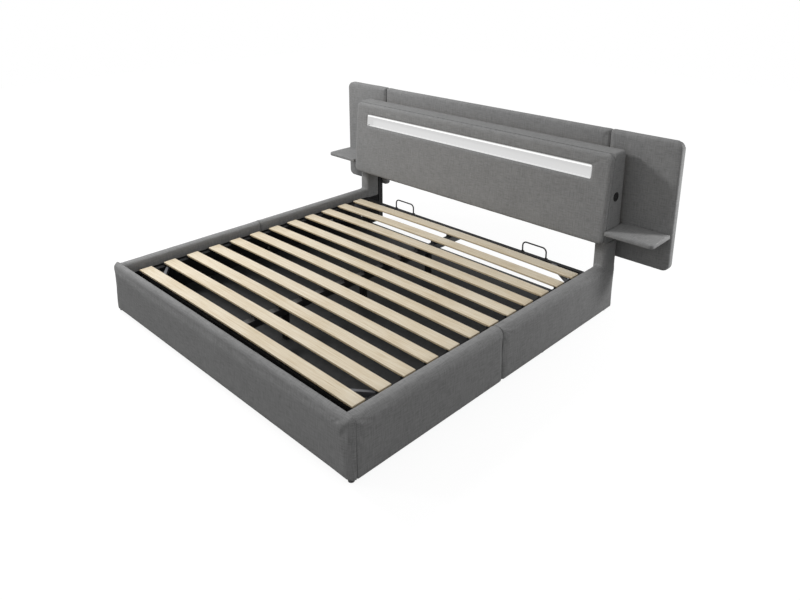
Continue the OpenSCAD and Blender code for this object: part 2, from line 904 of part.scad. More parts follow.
module shelf_board_space(grow) {
    translate([shelf_x0 + shelf_skin, shelf_y0 + shelf_skin, z_shelf + shelf_skin])
        linear_extrude(shelf_t - 2 * shelf_skin)
            soft_rect(shelf_w - 2 * shelf_skin, shelf_d - shelf_skin - seat + grow,
                0, shelf_corner_r - shelf_skin, 0, 0);
}

module shelf_cover(s) {
    color("gray") on_side(s) difference() {
        intersection() {
            translate([shelf_x0, shelf_y0, z_shelf]) linear_extrude(shelf_t)
                soft_rect(shelf_w, shelf_d - seat, shelf_edge_r, shelf_corner_r, 0, 0);
            along_y(shelf_y0, shelf_d) translate([shelf_x0, z_shelf])
                soft_rect(shelf_w, shelf_t, rail_low_r, shelf_edge_r, shelf_edge_r, rail_low_r);
            along_x(shelf_x0, shelf_w) translate([shelf_y0, z_shelf])
                soft_rect(shelf_d, shelf_t, shelf_edge_r, 0, 0, shelf_edge_r);
        }
        shelf_board_space(over);
    }
}

module shelf_boards() {
    color("burlywood") for (s = [-1, 1]) on_side(s) difference() {
        shelf_board_space(0);
        shelf_rod_set(rod_r, y_panel - shelf_rod_depth, shelf_rod_depth);
    }
}

module shelf_rods() {
    color("silver") for (s = [-1, 1]) on_side(s)
        shelf_rod_set(rod_r, y_panel - shelf_rod_depth, shelf_rod_depth + panel_t - shelf_rod_back);
}

// Lift bracket on the rail's inner face, with the strut's lower pin
module lift_bracket_outline() {
    polygon([
        [y_hinge - bracket_front, z_floor + floor_t + bracket_low_gap],
        [y_hinge + bracket_back, z_floor + floor_t + bracket_low_gap],
        [y_hinge + bracket_back, z_hinge],
        [y_hinge + bracket_waist, z_hinge + bracket_head],
        [y_hinge - bracket_waist, z_hinge + bracket_head],
        [y_hinge - bracket_front, z_hinge]
    ]);
}

module lift_bracket(s) {
    color([0.1, 0.1, 0.11]) on_side(s) {
        difference() {
            along_x(rail_in_x - bracket_t, bracket_t) lift_bracket_outline();
            rod_x(rail_in_x - bracket_t - over, y_hinge, z_hinge, hinge_pin_r, bracket_t + 2 * over);
            for (p = lift_bolts)
                rod_x(rail_in_x - bracket_t - over, p[0], p[1], bolt_r, bracket_t + 2 * over);
        }
        rod_x(strut_mid_x + eye_w / 2 + seat, y_hinge, z_low_pin, low_pin_collar_r,
            rail_in_x - bracket_t - strut_mid_x - eye_w / 2 - seat);
        rod_x(strut_mid_x - eye_w / 2 - over, y_hinge, z_low_pin, low_pin_r, eye_w + 2 * over);
    }
}

module hinge_pins() {
    color("silver") for (s = [-1, 1]) on_side(s) {
        rod_x(tube_x - tube_w - seat - pin_head_t, y_hinge, z_hinge, pin_head_r, pin_head_t);
        rod_x(tube_x - tube_w - seat - over, y_hinge, z_hinge, hinge_pin_r,
            rail_in_x - tube_x + tube_w + seat + over);
    }
}

// Platform frame
module side_tube(s) {
    color([0.08, 0.08, 0.09]) on_side(s) {
        difference() {
            union() {
                tube_y(tube_x - tube_w, y_plat_front, z_tube_low, tube_w, y_plat_back - y_plat_front, tube_h);
                rod_x(tube_x - tube_w, y_hinge, z_hinge, boss_r, rail_in_x - bracket_t - seat - tube_x + tube_w);
            }
            rod_x(tube_x - tube_w - over, y_hinge, z_hinge, hinge_pin_r + fit, rail_in_x - tube_x + tube_w);
        }
        strut_lug();
    }
}

// Lug and stud under the side tube for the strut's rod end
lug_x = strut_mid_x - stud_ring_w / 2 - over - lug_t;

module strut_lug() {
    rod_x(lug_x, y_stud, z_stud, lug_r, lug_t);
    block(lug_x, y_stud - lug_r, z_stud, lug_t, 2 * lug_r, z_tube_low - z_stud);
    rod_x(lug_x + lug_t, y_stud, z_stud, stud_r, stud_ring_w + 2 * over);
}

module end_tube(y) {
    color([0.08, 0.08, 0.09])
        tube_x_bar(-tube_x + tube_w, y, z_tube_low, 2 * (tube_x - tube_w), tube_w, tube_h);
}

module head_tube() {
    end_tube(y_plat_back - tube_w);
}

module foot_tube() {
    end_tube(y_plat_front);
}

module centre_tube() {
    color([0.08, 0.08, 0.09])
        tube_y(-centre_tube_w / 2, y_plat_front + tube_w, z_tube_low, centre_tube_w,
            y_plat_back - y_plat_front - 2 * tube_w, tube_h);
}

// Flat braces across the four corners of the frame
module corner_brace(y, turn) {
    x = tube_x - tube_w;
    translate([0, y, z_tube_top - brace_h]) linear_extrude(brace_h) polygon([
        [x - brace_along, 0],
        [x - brace_along + brace_w, 0],
        [x, turn * (brace_side - brace_w / 2)],
        [x, turn * brace_side]
    ]);
}

module corner_braces() {
    color([0.3, 0.3, 0.31]) for (s = [-1, 1]) on_side(s) {
        corner_brace(y_plat_front + tube_w, 1);
        corner_brace(y_plat_back - tube_w, -1);
    }
}

module centre_legs() {
    color([0.08, 0.08, 0.09]) for (g = leg_shares)
        translate([0, y_foot + g * base_l, 0]) {
            z0 = z_floor + floor_t + seat;
            block(-leg_w / 2, -leg_w / 2, z0, leg_w, leg_w, leg_foot_h);
            translate([-leg_w / 2, -leg_w / 2, z0 + leg_foot_h]) linear_extrude(z_tube_low - z0 - leg_foot_h)
                difference() {
                    square(leg_w);
                    translate([tube_wall, tube_wall]) square(leg_w - 2 * tube_wall);
                }
        }
}

// Crowned slats: the arch follows a parabola over the slat's length
function arch(t) = slat_crown * (1 - pow(2 * t - 1, 2));

module slat_section() {
    ts = [for (i = [0 : slat_steps]) i / slat_steps];
    polygon(concat(
        [for (t = ts) [(t - 1 / 2) * slat_l, arch(t) + slat_t]],
        [for (i = [slat_steps : -1 : 0]) [(ts[i] - 1 / 2) * slat_l, arch(ts[i])]]
    ));
}

module slats() {
    color("wheat") for (i = [0 : slat_n - 1])
        along_y(y_slat_first + i * slat_pitch, slat_w) translate([0, z_slat]) slat_section();
}

// Saddles under the slats: two at the ends, with a stop, and one on the centre tube
module end_saddle(y) {
    x0 = tube_x - tube_w / 2 - saddle_w / 2;
    block(x0, y - saddle_lip - slat_edge_gap, z_tube_top, saddle_w, slat_w + 2 * (saddle_lip + slat_edge_gap),
        saddle_h - seat);
    for (y1 = [y - saddle_lip - slat_edge_gap, y + slat_w + slat_edge_gap])
        block(x0, y1, z_tube_top, saddle_w, saddle_lip, saddle_h + saddle_lip_h);
}

module centre_saddle(y) {
    block(-saddle_w / 2, y, z_tube_top, saddle_w, slat_w, saddle_h + arch((1 - saddle_w / slat_l) / 2) - seat);
}

module slat_saddles() {
    color([0.1, 0.1, 0.1]) for (i = [0 : slat_n - 1]) {
        y = y_slat_first + i * slat_pitch;
        for (s = [-1, 1]) on_side(s) end_saddle(y);
        centre_saddle(y);
    }
}

// Wire loops that keep the mattress off the headboard's open foot
loop_y = y_plat_back + loop_socket_d / 2;
z_socket = z_tube_top - loop_socket_drop - loop_socket_h;
z_loop_foot = z_socket + loop_socket_floor;
z_loop_bend = z_tube_top + loop_h - loop_wire_r - loop_bend_r;

module loop_leg(x) {
    translate([x, loop_y, z_loop_foot]) cylinder(r = loop_wire_r, h = z_loop_bend - z_loop_foot);
}

module loop_bend(x, turn) {
    translate([x, loop_y, z_loop_bend]) rotate([90, 0, 0]) rotate([0, 0, turn])
        rotate_extrude(angle = 90) translate([loop_bend_r, 0]) circle(loop_wire_r);
}

module mattress_loop(s) {
    color([0.05, 0.05, 0.05]) on_side(s) {
        loop_leg(loop_inner);
        loop_leg(loop_inner + loop_w);
        loop_bend(loop_inner + loop_bend_r, 90);
        loop_bend(loop_inner + loop_w - loop_bend_r, 0);
        rod_x(loop_inner + loop_bend_r, loop_y, z_loop_bend + loop_bend_r, loop_wire_r, loop_w - 2 * loop_bend_r);
    }
}

module loop_sockets() {
    color([0.08, 0.08, 0.09]) for (s = [-1, 1]) on_side(s) for (x = [loop_inner, loop_inner + loop_w])
        difference() {
            block(x - loop_socket_w / 2, y_plat_back, z_socket, loop_socket_w, loop_socket_d, loop_socket_h);
            translate([x, loop_y, z_loop_foot]) cylinder(r = loop_wire_r + fit, h = loop_socket_h);
        }
}

// Gas struts, drawn along the line from the lower pin to the upper stud
module strut_frame() {
    translate([strut_mid_x, y_hinge, z_low_pin]) rotate([-strut_angle, 0, 0]) rotate([90, 0, 0]) children();
}

module cross_rod(z, r, l) {
    translate([-l / 2, 0, z]) rotate([0, 90, 0]) cylinder(r = r, h = l);
}

cylinder_end = strut_len - cylinder_end_gap;

module gas_cylinder(s) {
    color([0.1, 0.1, 0.11]) on_side(s) strut_frame() difference() {
        union() {
            cross_rod(0, eye_r, eye_w);
            cylinder(r = neck_r, h = eye_r + cylinder_cap);
            translate([0, 0, eye_r + over]) cylinder(r = cylinder_r, h = cylinder_end - eye_r - over);
        }
        cross_rod(0, low_pin_r + fit, eye_w + 2 * over);
        translate([0, 0, eye_r + cylinder_cap])
            cylinder(r = cylinder_r - cylinder_wall, h = cylinder_end - gland_l - eye_r - cylinder_cap);
        cylinder_bore();
    }
}

module cylinder_bore() {
    translate([0, 0, cylinder_end - gland_l - over])
        cylinder(r = piston_rod_r + fit, h = gland_l + 2 * over);
}

module gas_rod(s) {
    color("silver") on_side(s) strut_frame() {
        translate([0, 0, cylinder_end - rod_inside])
            cylinder(r = piston_rod_r, h = strut_len - stud_ring_r + over - cylinder_end + rod_inside);
        translate([0, 0, cylinder_end - rod_inside])
            cylinder(r = cylinder_r - cylinder_wall - piston_gap, h = piston_l);
        difference() {
            cross_rod(strut_len, stud_ring_r, stud_ring_w);
            cross_rod(strut_len, stud_r + stud_play, stud_ring_w + 2 * over);
        }
    }
}

footboard_cover();
footboard_board();
front_rail_cover(-1);  // front_rail_cover_left
front_rail_cover(1);  // front_rail_cover_right
rear_side_cover(-1);  // rear_side_cover_left
rear_side_cover(1);  // rear_side_cover_right
rail_boards();
post_cores();
corner_brackets();
rail_joint_plates();
frame_bolts();
glides();
storage_floor(-1);  // storage_floor_left
storage_floor(1);  // storage_floor_right
floor_battens();
centre_bearer();
platform_rests();
box_cover();
box_top_board();
box_bottom_board();
box_side_boards();
box_back_board();
box_front_board();
headboard_front_pad();
light_tray();
light_diffuser();
light_driver();
charging_socket(-1);  // charging_socket_left
charging_socket(1);  // charging_socket_right
wing_cover(-1);  // wing_cover_left
wing_cover(1);  // wing_cover_right
centre_panel_cover();
back_boards();
headboard_uprights();
cross_rails();
shelf_cover(-1);  // shelf_cover_left
shelf_cover(1);  // shelf_cover_right
shelf_boards();
shelf_rods();
lift_bracket(-1);  // lift_bracket_left
lift_bracket(1);  // lift_bracket_right
hinge_pins();
side_tube(-1);  // side_tube_left
side_tube(1);  // side_tube_right
head_tube();
foot_tube();
centre_tube();
corner_braces();
slats();
slat_saddles();
centre_legs();
mattress_loop(-1);  // mattress_loop_left
mattress_loop(1);  // mattress_loop_right
loop_sockets();
gas_cylinder(-1);  // gas_cylinder_left
gas_cylinder(1);  // gas_cylinder_right
gas_rod(-1);  // gas_rod_left
gas_rod(1);  // gas_rod_right
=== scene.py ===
import json
import math

import bmesh
import bpy
import numpy as np
from mathutils import Matrix, Vector, noise


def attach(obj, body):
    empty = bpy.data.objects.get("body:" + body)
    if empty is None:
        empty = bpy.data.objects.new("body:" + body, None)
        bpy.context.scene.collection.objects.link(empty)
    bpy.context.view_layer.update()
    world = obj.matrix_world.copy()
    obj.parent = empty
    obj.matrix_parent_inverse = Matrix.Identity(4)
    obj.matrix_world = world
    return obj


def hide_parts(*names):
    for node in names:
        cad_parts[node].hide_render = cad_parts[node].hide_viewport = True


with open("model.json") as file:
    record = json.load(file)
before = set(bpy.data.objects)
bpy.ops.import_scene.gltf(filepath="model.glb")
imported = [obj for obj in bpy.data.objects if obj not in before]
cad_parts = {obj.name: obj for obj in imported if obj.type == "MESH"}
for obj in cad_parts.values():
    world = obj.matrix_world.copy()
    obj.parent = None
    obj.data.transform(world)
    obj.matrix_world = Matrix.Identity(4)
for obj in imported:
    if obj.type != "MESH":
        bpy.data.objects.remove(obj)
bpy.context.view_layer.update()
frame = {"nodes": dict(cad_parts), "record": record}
print("frame loaded:", len(frame["nodes"]), "nodes")


# Small helpers for modelling

def freeHands():
    if bpy.context.mode != "OBJECT":
        bpy.ops.object.mode_set(mode="OBJECT")
    bpy.ops.object.select_all(action="DESELECT")


def pick(piece):
    freeHands()
    piece.select_set(True)
    bpy.context.view_layer.objects.active = piece


def startBlock(name, low, high):
    freeHands()
    middle = [(a + b) / 2 for a, b in zip(low, high)]
    bpy.ops.mesh.primitive_cube_add(size=1, location=middle, scale=[b - a for a, b in zip(low, high)])
    bpy.ops.object.transform_apply(location=True, rotation=True, scale=True)
    block = bpy.context.object
    block.name = name
    block.data.name = name
    return block


def joinInto(first, others):
    freeHands()
    for piece in others:
        piece.select_set(True)
    first.select_set(True)
    bpy.context.view_layer.objects.active = first
    bpy.ops.object.join()


# Opens a piece for editing, with the edges selected whose two ends answer yes
def selectEdges(piece, isWanted):
    pick(piece)
    bpy.ops.object.mode_set(mode="EDIT")
    bpy.ops.mesh.select_mode(type="EDGE")
    bpy.ops.mesh.select_all(action="DESELECT")
    shape = bmesh.from_edit_mesh(piece.data)
    for edge in shape.edges:
        edge.select = isWanted(edge.verts[0].co, edge.verts[1].co)
    bmesh.update_edit_mesh(piece.data)


def roundEdges(piece, isWanted, radius, steps=6):
    selectEdges(piece, isWanted)
    bpy.ops.mesh.bevel(offset=radius, segments=steps, profile=0.5, affect="EDGES")
    bpy.ops.object.mode_set(mode="OBJECT")


def cutEdges(piece, isWanted, cuts):
    selectEdges(piece, isWanted)
    bpy.ops.mesh.subdivide(number_cuts=cuts)
    bpy.ops.object.mode_set(mode="OBJECT")


def near(a, b, slack=0.0004):
    return abs(a - b) < slack


# Says whether an edge runs along one axis, at given places on the other two
def alongAxis(axis, shortest=0.02, **places):
    def isWanted(a, b):
        runs = abs(getattr(a, axis) - getattr(b, axis)) > shortest
        return runs and all(near(getattr(a, k), v) and near(getattr(b, k), v) for k, v in places.items())
    return isWanted


# Says whether an edge lies in one plane
def onPlane(axis, place):
    return lambda a, b: near(getattr(a, axis), place) and near(getattr(b, axis), place)


def applyModifier(piece, kind, **settings):
    pick(piece)
    modifier = piece.modifiers.new(kind.lower(), kind)
    for key, value in settings.items():
        setattr(modifier, key, value)
    bpy.ops.object.modifier_apply(modifier=modifier.name)


def pointsOf(piece):
    found = np.empty(len(piece.data.vertices) * 3)
    piece.data.vertices.foreach_get("co", found)
    return found.reshape(-1, 3)


def placePoints(piece, points):
    piece.data.vertices.foreach_set("co", np.ascontiguousarray(points, dtype=float).ravel())
    piece.data.update()


# Slow waves and small dimples in the wadding, pushed along the surface's normals
def wadding(piece, keepStill, depth=0.0007, wave=0.11):
    dimple = {"share": 0.35, "size": wave * 0.3}
    points = pointsOf(piece)
    normals = np.empty(len(points) * 3)
    piece.data.vertices.foreach_get("normal", normals)
    normals = normals.reshape(-1, 3)
    push = np.array([noise.noise(Vector(p) / wave) + dimple["share"] * noise.noise(Vector(p) / dimple["size"])
                     for p in points])
    points += normals * (push * depth * ~keepStill)[:, None]
    placePoints(piece, points)


# Fills a cover like a cushion: even voxels, then pressure from inside with the glued faces held
def fillPad(piece, isHeld, voxel=0.006, cap=0.003):
    filling = {"pressure": 4.0, "frames": 20, "mass": 0.3, "stretch": 12, "shear": 4, "bend": 0.6}
    applyModifier(piece, "REMESH", mode="VOXEL", voxel_size=voxel, use_smooth_shade=True)
    applyModifier(piece, "SMOOTH", factor=0.5, iterations=3)
    before = pointsOf(piece)
    held = isHeld(before)
    group = piece.vertex_groups.new(name="held")
    group.add([int(i) for i in np.nonzero(held)[0]], 1.0, "REPLACE")
    modifier = piece.modifiers.new("filling", "CLOTH")
    cloth = modifier.settings
    cloth.quality = 2
    cloth.mass = filling["mass"]
    cloth.tension_stiffness = filling["stretch"]
    cloth.compression_stiffness = filling["stretch"]
    cloth.shear_stiffness = filling["shear"]
    cloth.bending_stiffness = filling["bend"]
    cloth.use_pressure = True
    cloth.uniform_pressure_force = filling["pressure"]
    cloth.effector_weights.gravity = 0
    cloth.vertex_group_mass = "held"
    modifier.collision_settings.use_collision = False
    modifier.point_cache.frame_start = 1
    modifier.point_cache.frame_end = filling["frames"]
    for step in range(1, filling["frames"] + 1):
        bpy.context.scene.frame_set(step)
    pick(piece)
    bpy.ops.object.modifier_apply(modifier=modifier.name)
    bpy.context.scene.frame_set(1)
    moved = pointsOf(piece) - before
    far = np.linalg.norm(moved, axis=1)
    # no point goes farther than the cap
    placePoints(piece, before + moved * (cap / np.maximum(far, cap))[:, None])
    piece.vertex_groups.clear()
    wadding(piece, held)


# Weave coordinates in metres, laid on each face from the side that it looks to
def weaveMap(piece):
    mesh = piece.data
    layer = mesh.uv_layers.get("weave") or mesh.uv_layers.new(name="weave")
    points = pointsOf(piece)
    corners = np.empty(len(mesh.loops), dtype=np.int32)
    mesh.loops.foreach_get("vertex_index", corners)
    normals = np.empty(len(mesh.polygons) * 3)
    mesh.polygons.foreach_get("normal", normals)
    sizes = np.empty(len(mesh.polygons), dtype=np.int32)
    mesh.polygons.foreach_get("loop_total", sizes)
    side = np.repeat(np.abs(normals.reshape(-1, 3)).argmax(axis=1), sizes)
    at = points[corners]
    across = np.where(side == 0, at[:, 1], at[:, 0])
    up = np.where(side == 2, at[:, 1], at[:, 2])
    layer.data.foreach_set("uv", np.stack([across, up], axis=1).astype(np.float32).ravel())


# Mirror image across the bed's middle, made before the piece is told what it stands for
def mirrored(piece, name):
    twin = piece.copy()
    twin.data = piece.data.copy()
    twin.name = name
    twin.data.name = name
    bpy.context.collection.objects.link(twin)
    twin.data.transform(Matrix.Diagonal((-1, 1, 1, 1)))
    twin.data.flip_normals()
    return twin


# Materials

def tone(hexText, alpha=1.0):
    parts = [int(hexText[i:i + 2], 16) / 255 for i in (1, 3, 5)]
    return [p / 12.92 if p <= 0.04045 else ((p + 0.055) / 1.055) ** 2.4 for p in parts] + [alpha]


def addNode(owner, kind, settings=None, inputs=None, stops=()):
    made = owner.node_tree.nodes.new(kind)
    for key, value in (settings or {}).items():
        setattr(made, key, value)
    for key, value in (inputs or {}).items():
        if isinstance(value, bpy.types.NodeSocket):
            owner.node_tree.links.new(value, made.inputs[key])
        else:
            made.inputs[key].default_value = value
    # colours of a ramp, as pairs of place and hex value
    for index, (place, hexText) in enumerate(stops):
        elements = made.color_ramp.elements
        spot = elements[index] if index < len(elements) else elements.new(place)
        spot.position = place
        spot.color = tone(hexText)
    return made


def startMaterial(name, **sockets):
    material = bpy.data.materials.new(name)
    material.use_nodes = True
    surface = material.node_tree.nodes["Principled BSDF"]
    for key, value in sockets.items():
        surface.inputs[key.replace("_", " ")].default_value = value
    return material, surface


def wire(owner, output, surface, socket):
    owner.node_tree.links.new(output, surface.inputs[socket])


# Linen-look polyester, plain woven: matt, with long slubs both ways and a faint cloudy tone
def linenMaterial():
    cloth = {"light": "#929292", "middle": "#898989", "dark": "#7B7B7B", "sheen": "#C8C8C8",
             "slubWidth": 0.0042, "slubLength": 0.055, "threadGap": 0.0026, "cloudSize": 0.16,
             "cloudShare": 0.16, "slubShare": 0.55, "relief": 0.0006}
    material, surface = startMaterial("wovenLinenLookPolyester", Roughness=0.95, Sheen_Weight=0.12,
                                      Sheen_Roughness=0.45, Specular_IOR_Level=0.25,
                                      Sheen_Tint=tone(cloth["sheen"]))
    uv = addNode(material, "ShaderNodeUVMap", {"uv_map": "weave"}).outputs["UV"]
    place = addNode(material, "ShaderNodeTexCoord").outputs["Object"]
    slubs = []
    for across, up in ((cloth["slubWidth"], cloth["slubLength"]), (cloth["slubLength"], cloth["slubWidth"])):
        stretched = addNode(material, "ShaderNodeMapping", inputs={
            "Vector": uv, "Scale": (1 / across, 1 / up, 1)}).outputs[0]
        slubs.append(addNode(material, "ShaderNodeTexNoise", {"noise_dimensions": "2D"}, {
            "Vector": stretched, "Scale": 1.0, "Detail": 2.0, "Roughness": 0.6}).outputs["Fac"])
    clouds = addNode(material, "ShaderNodeTexNoise", inputs={
        "Vector": place, "Scale": 1 / cloth["cloudSize"], "Detail": 3.0, "Roughness": 0.55}).outputs["Fac"]
    together = addNode(material, "ShaderNodeMath", {"operation": "ADD"}, {
        0: slubs[0], 1: slubs[1]}).outputs[0]
    threads = addNode(material, "ShaderNodeMath", {"operation": "MULTIPLY"}, {
        0: together, 1: 0.5}).outputs[0]
    tones = addNode(material, "ShaderNodeMix", {"data_type": "FLOAT"}, {
        0: cloth["cloudShare"], 2: threads, 3: clouds}).outputs[0]
    colour = addNode(material, "ShaderNodeValToRGB", inputs={"Fac": tones}, stops=[
        (0.36, cloth["dark"]), (0.5, cloth["middle"]), (0.64, cloth["light"])]).outputs["Color"]
    wire(material, colour, surface, "Base Color")
    # real threads lie 0.9 mm apart and are drawn wider, so that the render shows them;
    # a wave texture at scale 1 has one band in each pi / 10
    waves = []
    for direction in ("X", "Y"):
        waves.append(addNode(material, "ShaderNodeTexWave", {"bands_direction": direction}, {
            "Vector": uv, "Scale": math.pi / 10 / cloth["threadGap"], "Distortion": 1.2,
            "Detail": 1.0, "Detail Scale": 2.0}).outputs["Fac"])
    weave = addNode(material, "ShaderNodeMath", {"operation": "MAXIMUM"}, {
        0: waves[0], 1: waves[1]}).outputs[0]
    height = addNode(material, "ShaderNodeMix", {"data_type": "FLOAT"}, {
        0: cloth["slubShare"], 2: weave, 3: threads}).outputs[0]
    bump = addNode(material, "ShaderNodeBump", inputs={
        "Height": height, "Strength": 0.5, "Distance": cloth["relief"]}).outputs[0]
    wire(material, bump, surface, "Normal")
    return material


# Sizes of the slats, which the plies of their material follow too
slat = {"count": 12, "half": 0.905, "width": 0.073, "thickness": 0.012, "first": -0.941, "pitch": 0.148,
        "foot": 0.236, "crown": 0.008, "steps": 24, "ease": 0.0022, "smooth": 35}


# Birch plywood, clear sealed: cream face with fine long grain, plies showing at the edges
def birchMaterial():
    wood = {"pale": "#EADFC9", "middle": "#E0D2B8", "dark": "#C9B48F", "ply": "#B0925F",
            "grainWidth": 0.003, "grainLength": 0.22, "patchSize": 0.2, "patchShare": 0.22,
            "plies": 7, "plyShare": 0.75, "relief": 0.0004}
    material, surface = startMaterial("sealedBirchPlywood", Roughness=0.48, Specular_IOR_Level=0.35,
                                      Coat_Weight=0.25, Coat_Roughness=0.3)
    place = addNode(material, "ShaderNodeTexCoord").outputs["Object"]
    parts = addNode(material, "ShaderNodeSeparateXYZ", inputs={0: place}).outputs
    stretched = addNode(material, "ShaderNodeMapping", inputs={
        "Vector": place, "Scale": (1 / wood["grainLength"], 1 / wood["grainWidth"], 1 / wood["grainWidth"])})
    grain = addNode(material, "ShaderNodeTexNoise", inputs={
        "Vector": stretched.outputs[0], "Scale": 1.0, "Detail": 4.0, "Roughness": 0.62,
        "Distortion": 0.4}).outputs["Fac"]
    patches = addNode(material, "ShaderNodeTexNoise", inputs={
        "Vector": place, "Scale": 1 / wood["patchSize"], "Detail": 2.0}).outputs["Fac"]
    tones = addNode(material, "ShaderNodeMix", {"data_type": "FLOAT"}, {
        0: wood["patchShare"], 2: grain, 3: patches}).outputs[0]
    face = addNode(material, "ShaderNodeValToRGB", inputs={"Fac": tones}, stops=[
        (0.34, wood["dark"]), (0.5, wood["middle"]), (0.62, wood["pale"])]).outputs["Color"]
    # height within the crowned slat says which ply shows at an edge
    along = addNode(material, "ShaderNodeMath", {"operation": "DIVIDE"}, {
        0: parts["X"], 1: slat["half"]}).outputs[0]
    squared = addNode(material, "ShaderNodeMath", {"operation": "MULTIPLY"}, {
        0: along, 1: along}).outputs[0]
    arch = addNode(material, "ShaderNodeMath", {"operation": "SUBTRACT"}, {
        0: 1.0, 1: squared}).outputs[0]
    rise = addNode(material, "ShaderNodeMath", {"operation": "MULTIPLY"}, {
        0: arch, 1: slat["crown"]}).outputs[0]
    level = addNode(material, "ShaderNodeMath", {"operation": "SUBTRACT"}, {
        0: parts["Z"], 1: rise}).outputs[0]
    inside = addNode(material, "ShaderNodeMath", {"operation": "SUBTRACT"}, {
        0: level, 1: slat["foot"]}).outputs[0]
    pairsOfPlies = wood["plies"] / slat["thickness"] / 2
    layer = addNode(material, "ShaderNodeMath", {"operation": "MULTIPLY"}, {
        0: inside, 1: pairsOfPlies}).outputs[0]
    part = addNode(material, "ShaderNodeMath", {"operation": "FRACT"}, {0: layer}).outputs[0]
    stripe = addNode(material, "ShaderNodeMath", {"operation": "GREATER_THAN"}, {
        0: part, 1: 0.5}).outputs[0]
    normal = addNode(material, "ShaderNodeTexCoord").outputs["Normal"]
    lift = addNode(material, "ShaderNodeSeparateXYZ", inputs={0: normal}).outputs["Z"]
    steep = addNode(material, "ShaderNodeMath", {"operation": "ABSOLUTE"}, {0: lift}).outputs[0]
    isEdge = addNode(material, "ShaderNodeMath", {"operation": "LESS_THAN"}, {
        0: steep, 1: 0.6}).outputs[0]
    onEdge = addNode(material, "ShaderNodeMath", {"operation": "MULTIPLY"}, {
        0: stripe, 1: isEdge}).outputs[0]
    share = addNode(material, "ShaderNodeMath", {"operation": "MULTIPLY"}, {
        0: onEdge, 1: wood["plyShare"]}).outputs[0]
    colour = addNode(material, "ShaderNodeMix", {"data_type": "RGBA"}, {
        0: share, 6: face, 7: tone(wood["ply"])}).outputs[2]
    wire(material, colour, surface, "Base Color")
    bump = addNode(material, "ShaderNodeBump", inputs={
        "Height": grain, "Strength": 0.25, "Distance": wood["relief"]}).outputs[0]
    wire(material, bump, surface, "Normal")
    return material


# Powder coat, sprayed and baked on steel: satin, with a fine orange peel
def powderCoatMaterial(name, hexText, roughness, specular):
    coat = {"peelSize": 0.0024, "patchSize": 0.07, "relief": 0.0002}
    material, surface = startMaterial(name, Roughness=roughness, Specular_IOR_Level=specular)
    place = addNode(material, "ShaderNodeTexCoord").outputs["Object"]
    peel = addNode(material, "ShaderNodeTexNoise", inputs={
        "Vector": place, "Scale": 1 / coat["peelSize"], "Detail": 2.0}).outputs["Fac"]
    patches = addNode(material, "ShaderNodeTexNoise", inputs={
        "Vector": place, "Scale": 1 / coat["patchSize"], "Detail": 3.0}).outputs["Fac"]
    base = tone(hexText)
    paler = [min(1, c * 1.5 + 0.003) for c in base[:3]] + [1]
    colour = addNode(material, "ShaderNodeMix", {"data_type": "RGBA"}, {
        0: patches, 6: base, 7: paler}).outputs[2]
    wire(material, colour, surface, "Base Color")
    gloss = addNode(material, "ShaderNodeMapRange", inputs={
        "Value": patches, "To Min": roughness - 0.06, "To Max": roughness + 0.08}).outputs[0]
    wire(material, gloss, surface, "Roughness")
    bump = addNode(material, "ShaderNodeBump", inputs={
        "Height": peel, "Strength": 0.3, "Distance": coat["relief"]}).outputs[0]
    wire(material, bump, surface, "Normal")
    return material


# Bright plating on steel, zinc or hard chrome: grey metal with faint clouds
def platedMaterial(name, hexText, roughness):
    cloudSize = 0.016
    material, surface = startMaterial(name, Metallic=1.0)
    place = addNode(material, "ShaderNodeTexCoord").outputs["Object"]
    clouds = addNode(material, "ShaderNodeTexNoise", inputs={
        "Vector": place, "Scale": 1 / cloudSize, "Detail": 4.0}).outputs["Fac"]
    base = tone(hexText)
    darker = [c * 0.8 for c in base[:3]] + [1]
    colour = addNode(material, "ShaderNodeMix", {"data_type": "RGBA"}, {
        0: clouds, 6: darker, 7: base}).outputs[2]
    wire(material, colour, surface, "Base Color")
    gloss = addNode(material, "ShaderNodeMapRange", inputs={
        "Value": clouds, "To Min": roughness * 0.8, "To Max": roughness * 1.25}).outputs[0]
    wire(material, gloss, surface, "Roughness")
    return material


# Sawn softwood and raw plywood: pale brown with broad grain, inside the padding
def rawTimberMaterial():
    wood = {"pale": "#DCC096", "middle": "#CDAA78", "dark": "#B08A5A",
            "grainLength": 0.11, "grainWidth": 0.009, "relief": 0.0006}
    material, surface = startMaterial("rawPlywoodAndSoftwood", Roughness=0.82)
    place = addNode(material, "ShaderNodeTexCoord").outputs["Object"]
    stretched = addNode(material, "ShaderNodeMapping", inputs={
        "Vector": place, "Scale": (1 / wood["grainLength"], 1 / wood["grainLength"], 1 / wood["grainWidth"])})
    grain = addNode(material, "ShaderNodeTexNoise", inputs={
        "Vector": stretched.outputs[0], "Scale": 1.0, "Detail": 5.0, "Distortion": 0.6}).outputs["Fac"]
    colour = addNode(material, "ShaderNodeValToRGB", inputs={"Fac": grain}, stops=[
        (0.35, wood["dark"]), (0.55, wood["middle"]), (0.7, wood["pale"])]).outputs["Color"]
    wire(material, colour, surface, "Base Color")
    bump = addNode(material, "ShaderNodeBump", inputs={
        "Height": grain, "Strength": 0.4, "Distance": wood["relief"]}).outputs[0]
    wire(material, bump, surface, "Normal")
    return material


